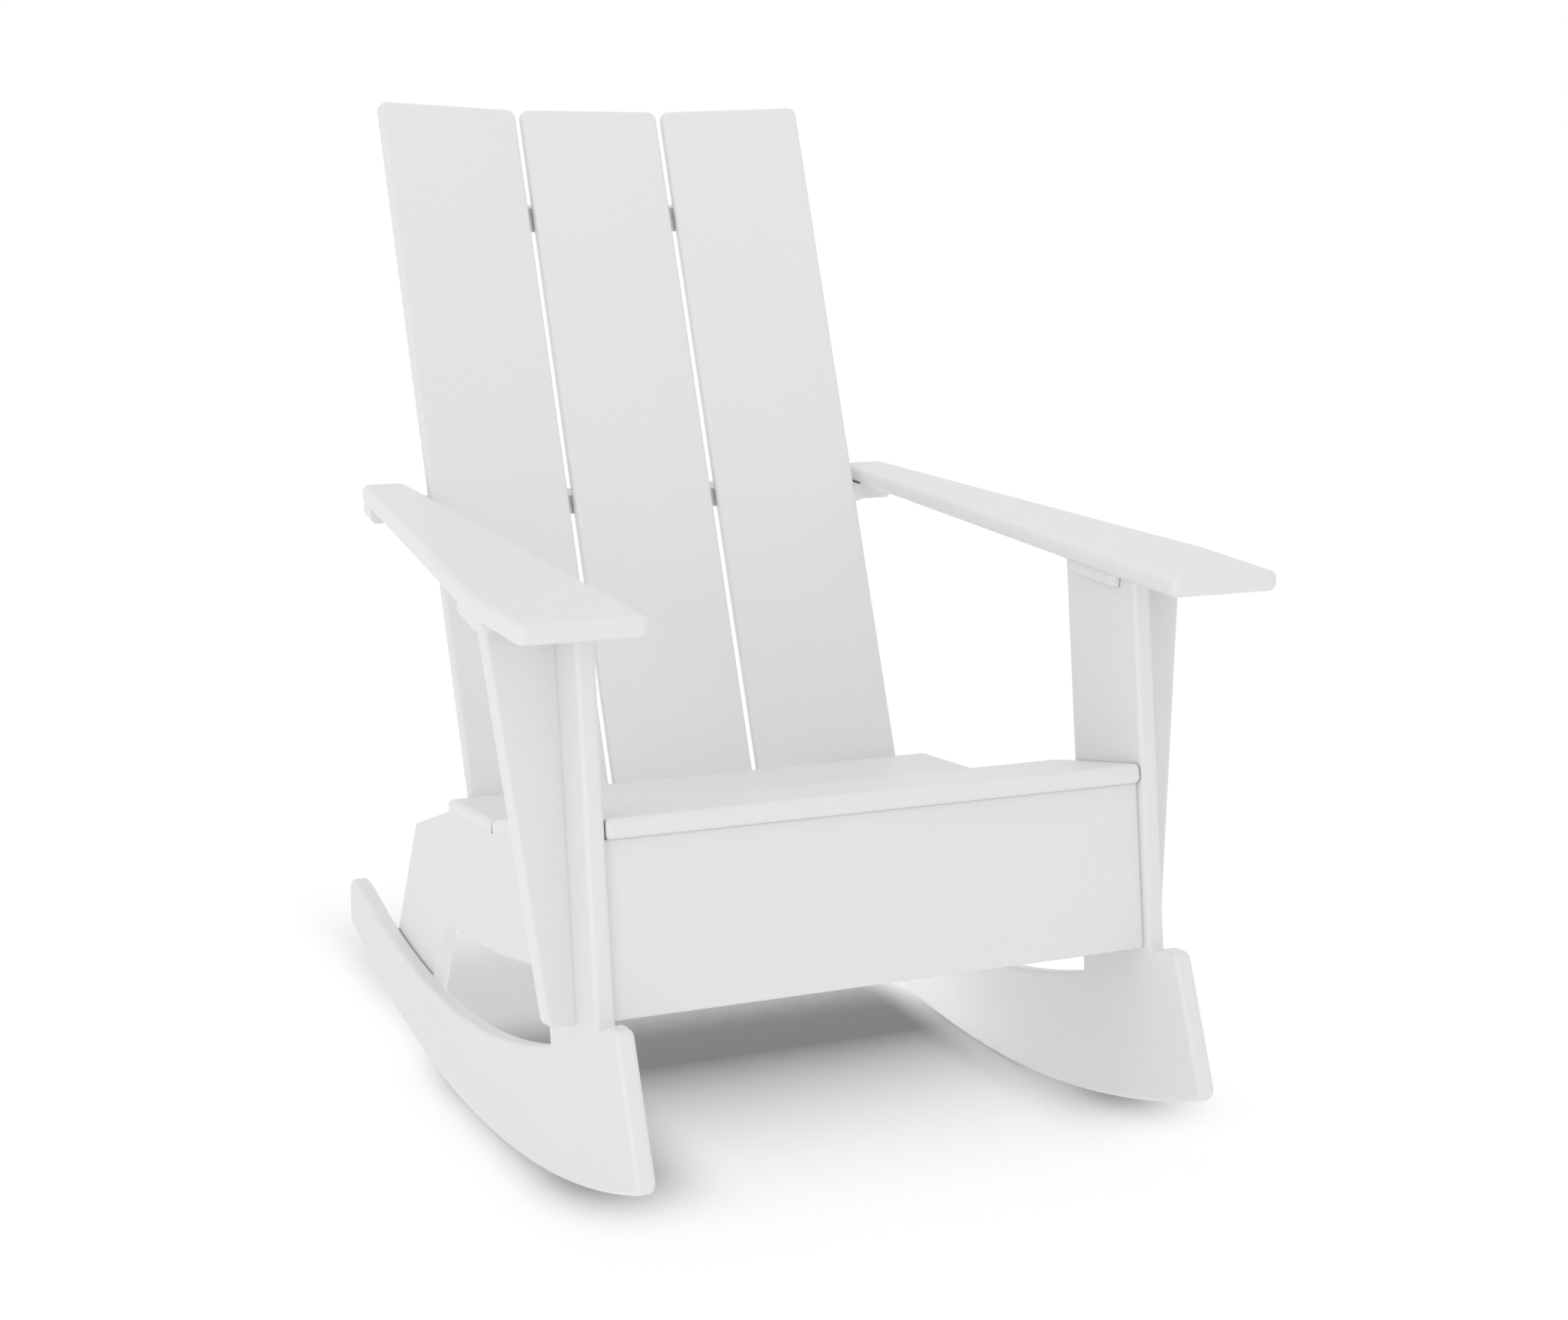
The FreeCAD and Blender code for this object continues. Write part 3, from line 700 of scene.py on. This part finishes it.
@dataclass
class Screws:
    """The groups of pan-head screws with hexagon sockets, in metres.

    The dome is given as shares of the head's radius and height, the socket's rim as shares of
    its half width and the head's height, and the thread's root as a share of its pitch.
    """

    groups: tuple[str, ...]
    head_radius: float = 0.0042
    head_height: float = 0.0032
    dome: tuple[tuple[float, float], ...] = (
        (0.62, 0.0),
        (0.80, 0.07),
        (0.92, 0.22),
        (0.98, 0.42),
        (1.0, 0.62),
        (1.0, 0.93),
        (0.97, 1.0),
    )
    shank_radius: float = 0.0024
    plain_length: float = 0.004
    thread_pitch: float = 0.0022
    root_radius: float = 0.0018
    root_share: float = 0.24
    tip_length: float = 0.004
    tip_radius: float = 0.0004
    socket_flats: float = 0.0030
    socket_depth: float = 0.0018
    socket_rim: tuple[float, float] = (1.22, 0.06)
    segments: int = 24
    sharp_angle: float = 32.0
    steel: StainlessSteel = field(default_factory=StainlessSteel)

    def build(self) -> None:
        """Replace each group by turned screws in the same places."""
        material = self.steel.paint("stainless_steel_screws")
        for group in self.groups:
            places = ScrewPlace.all_in(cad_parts[group])
            mesh = bpy.data.meshes.new(group + "_turned")
            work = bmesh.new()
            for place in places:
                self._turn(work, place)
            work.to_mesh(mesh)
            work.free()
            for polygon in mesh.polygons:
                polygon.use_smooth = True
            mesh.set_sharp_from_angle(angle=math.radians(self.sharp_angle))
            piece = bpy.data.objects.new(group + "_turned", mesh)
            bpy.context.scene.collection.objects.link(piece)
            put_on(piece, material)
            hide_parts(group)
            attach(piece, "root")
            log.info("screws: %s, %d turned", group, len(places))

    def _profile(self, length: float) -> list[tuple[float, float, bool]]:
        """The screw's outline from the socket's floor to the tip.

        Args:
            length: from the head's top to the tip.

        Returns:
            Rings as radius, distance from the head's top, and whether the ring is a hexagon.
        """
        height = self.head_height
        flats = self.socket_flats / 2
        rim_reach, rim_drop = self.socket_rim
        start = height + self.plain_length
        end = length - self.tip_length
        turns = int((end - start) / self.thread_pitch)
        half_root = self.thread_pitch * self.root_share / 2
        rings = [
            (flats, self.socket_depth, True),
            (flats, height * rim_drop, True),
            (flats * rim_reach, 0.0, False),
        ]
        rings += [(self.head_radius * out, height * down, False) for out, down in self.dome]
        rings.append((self.shank_radius, height, False))
        rings.append((self.shank_radius, start, False))
        for turn in range(turns):
            at = start + (turn + 0.5) * self.thread_pitch
            rings.append((self.root_radius, at - half_root, False))
            rings.append((self.root_radius, at + half_root, False))
            rings.append((self.shank_radius, at + self.thread_pitch / 2, False))
        rings.append((self.root_radius, end, False))
        rings.append((self.tip_radius, length, False))
        return rings

    def _turn(self, work: bmesh.types.BMesh, place: ScrewPlace) -> None:
        """Add one screw to a mesh.

        Args:
            work: the mesh.
            place: where the screw is.
        """
        side = place.direction.orthogonal().normalized()
        other = place.direction.cross(side)
        sixth = math.pi / 3
        loops = []
        for radius, at, hexagon in self._profile(place.length):
            loop = []
            for step in range(self.segments):
                angle = 2 * math.pi * step / self.segments
                reach = radius / math.cos(angle % sixth - sixth / 2) if hexagon else radius
                out = side * (math.cos(angle) * reach) + other * (math.sin(angle) * reach)
                loop.append(work.verts.new(place.top + place.direction * at + out))
            loops.append(loop)
        for first, second in zip(loops, loops[1:]):
            for step in range(self.segments):
                following = (step + 1) % self.segments
                work.faces.new((first[step], first[following], second[following], second[step]))
        work.faces.new(loops[0][::-1])
        work.faces.new(loops[-1])


def put_on(piece: bpy.types.Object, material: bpy.types.Material) -> None:
    """Put one material on every slot of a piece.

    Args:
        piece: the piece.
        material: its new material.
    """
    if not piece.material_slots:
        piece.data.materials.append(material)
    for slot in piece.material_slots:
        slot.material = material


@dataclass(frozen=True)
class Lamp:
    """One softbox, square, aimed at the chair's middle: metres, degrees and watts."""

    name: str
    turn: float
    rise: float
    distance: float
    size: float
    power: float
    aim: tuple[float, float, float] = (0.0, 0.0, 0.45)

    def hang(self) -> None:
        """Add the lamp, turned from the chair's front towards its left and raised from the level."""
        turn = math.radians(self.turn)
        rise = math.radians(self.rise)
        level = math.cos(rise)
        towards = Vector((-math.sin(turn) * level, -math.cos(turn) * level, math.sin(rise)))
        light = bpy.data.lights.new(self.name, "AREA")
        light.shape = "SQUARE"
        light.size = self.size
        light.energy = self.power
        lamp = bpy.data.objects.new(self.name, light)
        lamp.location = Vector(self.aim) + towards * self.distance
        lamp.rotation_euler = (-towards).to_track_quat("-Z", "Y").to_euler()
        bpy.context.scene.collection.objects.link(lamp)


@dataclass
class Studio:
    """A white floor that runs out of sight, a white surround and soft lamps.

    The shade fields say where a shadow is painted on the floor between the rockers, and the contact
    fields where a narrow shadow is painted along their fronts, in metres. The lighting colours are
    what the floor sends back to the chair: floor_colour on the open floor, and under the chair a
    colour far brighter than white, which is painted light that lights the chair from below. The seen
    ones, open_colour and shade_colour, are what the eye gets, shade_colour being the painted
    shadow's colour, and open_white is how much of the open floor is plain white.
    """

    floor_half: float = 14.0
    ambient: float = 0.84
    floor_colour: float = 1.08
    painted_under_light: float = 2.80
    shade_colour: float = 0.33
    open_colour: float = 1.20
    open_white: float = 0.85
    shade_sides: tuple[float, float] = (0.24, 0.33)
    shade_front: tuple[float, float] = (0.03, -0.45)
    shade_rear: tuple[float, float] = (0.10, 0.26)
    shade_end: tuple[float, float] = (0.35, 0.90)
    front_fall: float = 1.7
    rear_fall: float = 0.32
    contact_line: float = 0.29
    contact_shift: float = 0.055
    contact_reach: float = 0.13
    contact_middle: float = -0.09
    contact_ends: tuple[float, float] = (0.12, 0.29)
    contact_depth: float = 1.00
    lamps: tuple[Lamp, ...] = (
        Lamp("lamp_left", turn=50.0, rise=8.0, distance=4.2, size=1.8, power=17.5),
        Lamp("lamp_top", turn=0.0, rise=88.0, distance=2.9, size=1.8, power=7.0),
    )

    def build(self) -> None:
        """Lay the floor, light the surround and hang the lamps."""
        self._floor()
        self._surround()
        for lamp in self.lamps:
            lamp.hang()
        log.info("studio: floor, surround and %d lamps", len(self.lamps))

    def _floor(self) -> None:
        """A flat floor, seen white beyond a shadow round the chair that is partly real and partly painted.
        """
        mesh = bpy.data.meshes.new("floor")
        work = bmesh.new()
        bmesh.ops.create_grid(work, x_segments=1, y_segments=1, size=self.floor_half)
        work.to_mesh(mesh)
        work.free()
        floor = bpy.data.objects.new("floor", mesh)
        bpy.context.scene.collection.objects.link(floor)
        shader, material = Shader.for_material("white_floor")
        seen = self._seen(shader)
        shade = self._shade(shader)
        # Under the chair the floor sends back painted light, far brighter than white, to light the chair
        # from below.
        lighting = shader.blend(shade, self._grey(self.floor_colour), self._grey(self.painted_under_light))
        shade = 1.0 - (1.0 - shade) * (1.0 - self._contact(shader))
        # The eye sees a painted shadow: the floor's colour falls to shade_colour under the seat and along
        # the rockers.
        shown = shader.blend(shade, self._grey(self.open_colour), self._grey(self.shade_colour))
        colour = shader.blend(seen, lighting, shown)
        dull = {"Base Color": colour, "Roughness": 1.0, "Specular IOR Level": 0.0}
        lit = shader.node("ShaderNodeBsdfPrincipled", {}, dull)
        white = shader.node("ShaderNodeEmission", {}, {"Color": self._grey(1.0), "Strength": 1.0})
        whitened = seen * (1.0 - shade) * self.open_white
        shader.finish(shader.node("ShaderNodeMixShader", {}, {0: whitened, 1: lit, 2: white}))
        put_on(floor, material)

    def _shade(self, shader: Shader) -> Socket:
        """Where a shadow is painted on the floor, between the rockers and fading out all round; there the
        floor's own lit shading shows as well.

        Args:
            shader: the floor's nodes.

        Returns:
            1 under the seat, 0 on the white floor.
        """
        across, along = self._floor_place(shader)
        level, gone = self.shade_front
        front = ((along - gone) * (1.0 / (level - gone))).clamped() ** self.front_fall
        rear = 1.0 - along.between(*self.shade_rear) * self.rear_fall
        end = 1.0 - along.between(*self.shade_end)
        return (1.0 - abs(across).between(*self.shade_sides)) * front * rear * end

    def _contact(self, shader: Shader) -> Socket:
        """The narrow shadow painted along the fronts of the two rockers.

        Args:
            shader: the floor's nodes.

        Returns:
            Its depth, 0 on the white floor.
        """
        across, along = self._floor_place(shader)
        away = abs(abs(across - self.contact_shift) - self.contact_line).between(0.0, self.contact_reach)
        ends = 1.0 - abs(along - self.contact_middle).between(*self.contact_ends)
        return (1.0 - away) * ends * self.contact_depth

    @staticmethod
    def _floor_place(shader: Shader) -> tuple[Socket, Socket]:
        """The place on the floor, in metres.

        Args:
            shader: the floor's nodes.

        Returns:
            How far it is to the right, and how far to the rear.
        """
        place = shader.node("ShaderNodeTexCoord", {}, {}, "Object")
        return (
            shader.vector("DOT_PRODUCT", place, (1.0, 0.0, 0.0), "Value"),
            shader.vector("DOT_PRODUCT", place, (0.0, 1.0, 0.0), "Value"),
        )

    def _surround(self) -> None:
        """A surround that is white where it is seen, and a little softer where it lights."""
        world = bpy.data.worlds.new("surround")
        world.use_nodes = True
        bpy.context.scene.world = world
        shader = Shader(world.node_tree)
        strength = self.ambient + self._seen(shader) * (1.0 - self.ambient)
        sockets = {"Color": self._grey(1.0), "Strength": strength}
        shader.finish(shader.node("ShaderNodeBackground", {}, sockets))

    @staticmethod
    def _seen(shader: Shader) -> Socket:
        """1 where the eye, a reflection or a clear material looks straight at it.

        Args:
            shader: the nodes to add to.

        Returns:
            The mask.
        """
        camera = shader.node("ShaderNodeLightPath", {}, {}, "Is Camera Ray")
        mirrored = camera.sibling("Is Glossy Ray").larger(camera.sibling("Is Transmission Ray"))
        return camera.larger(mirrored)

    @staticmethod
    def _grey(value: float) -> tuple[float, float, float, float]:
        """A neutral colour."""
        return (value, value, value, 1.0)


@dataclass
class PhotoCamera:
    """The photograph's viewpoint, in metres and degrees, with its focal length in photo pixels."""

    place: tuple[float, float, float] = (-1.1349, -2.4821, 1.0362)
    turn: float = 25.539
    tilt_down: float = 12.181
    roll: float = 1.175
    focal_pixels: float = 3587.1
    sensor: float = 36.0
    clip_end: float = 60.0

    def build(self) -> None:
        """Add the camera and make it the scene's own."""
        turn = math.radians(self.turn)
        tilt = math.radians(self.tilt_down)
        roll = math.radians(self.roll)
        ahead = Vector((math.sin(turn) * math.cos(tilt), math.cos(turn) * math.cos(tilt), -math.sin(tilt)))
        level = Vector((math.cos(turn), -math.sin(turn), 0.0))
        upright = level.cross(ahead)
        right = level * math.cos(roll) + upright * math.sin(roll)
        up = upright * math.cos(roll) - level * math.sin(roll)
        data = bpy.data.cameras.new("photo_camera")
        data.sensor_fit = "HORIZONTAL"
        data.sensor_width = self.sensor
        data.lens = self.focal_pixels / PHOTO_WIDTH * self.sensor
        data.clip_end = self.clip_end
        camera = bpy.data.objects.new("photo_camera", data)
        axes = Matrix((right, up, -ahead)).transposed().to_4x4()
        camera.matrix_world = Matrix.Translation(self.place) @ axes
        bpy.context.scene.collection.objects.link(camera)
        bpy.context.scene.camera = camera
        log.info("camera: %.1f mm lens", data.lens)


def main() -> None:
    """Dress the chair, and build the studio and the camera."""
    logging.basicConfig(level=logging.INFO, format="%(name)s: %(message)s")
    assemblies: list[SubAssembly] = [
        SideFrame.on(Side.LEFT),
        SideFrame.on(Side.RIGHT),
        Seat(),
        Back(),
        Armrest.on(Side.LEFT),
        Armrest.on(Side.RIGHT),
    ]
    number = 1
    for assembly in assemblies:
        number = assembly.dress(number)
    Screws(tuple(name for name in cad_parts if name.endswith("_screws"))).build()
    Studio().build()
    PhotoCamera().build()
    bpy.context.scene.view_settings.view_transform = "Standard"


if __name__ == "__main__":
    main()
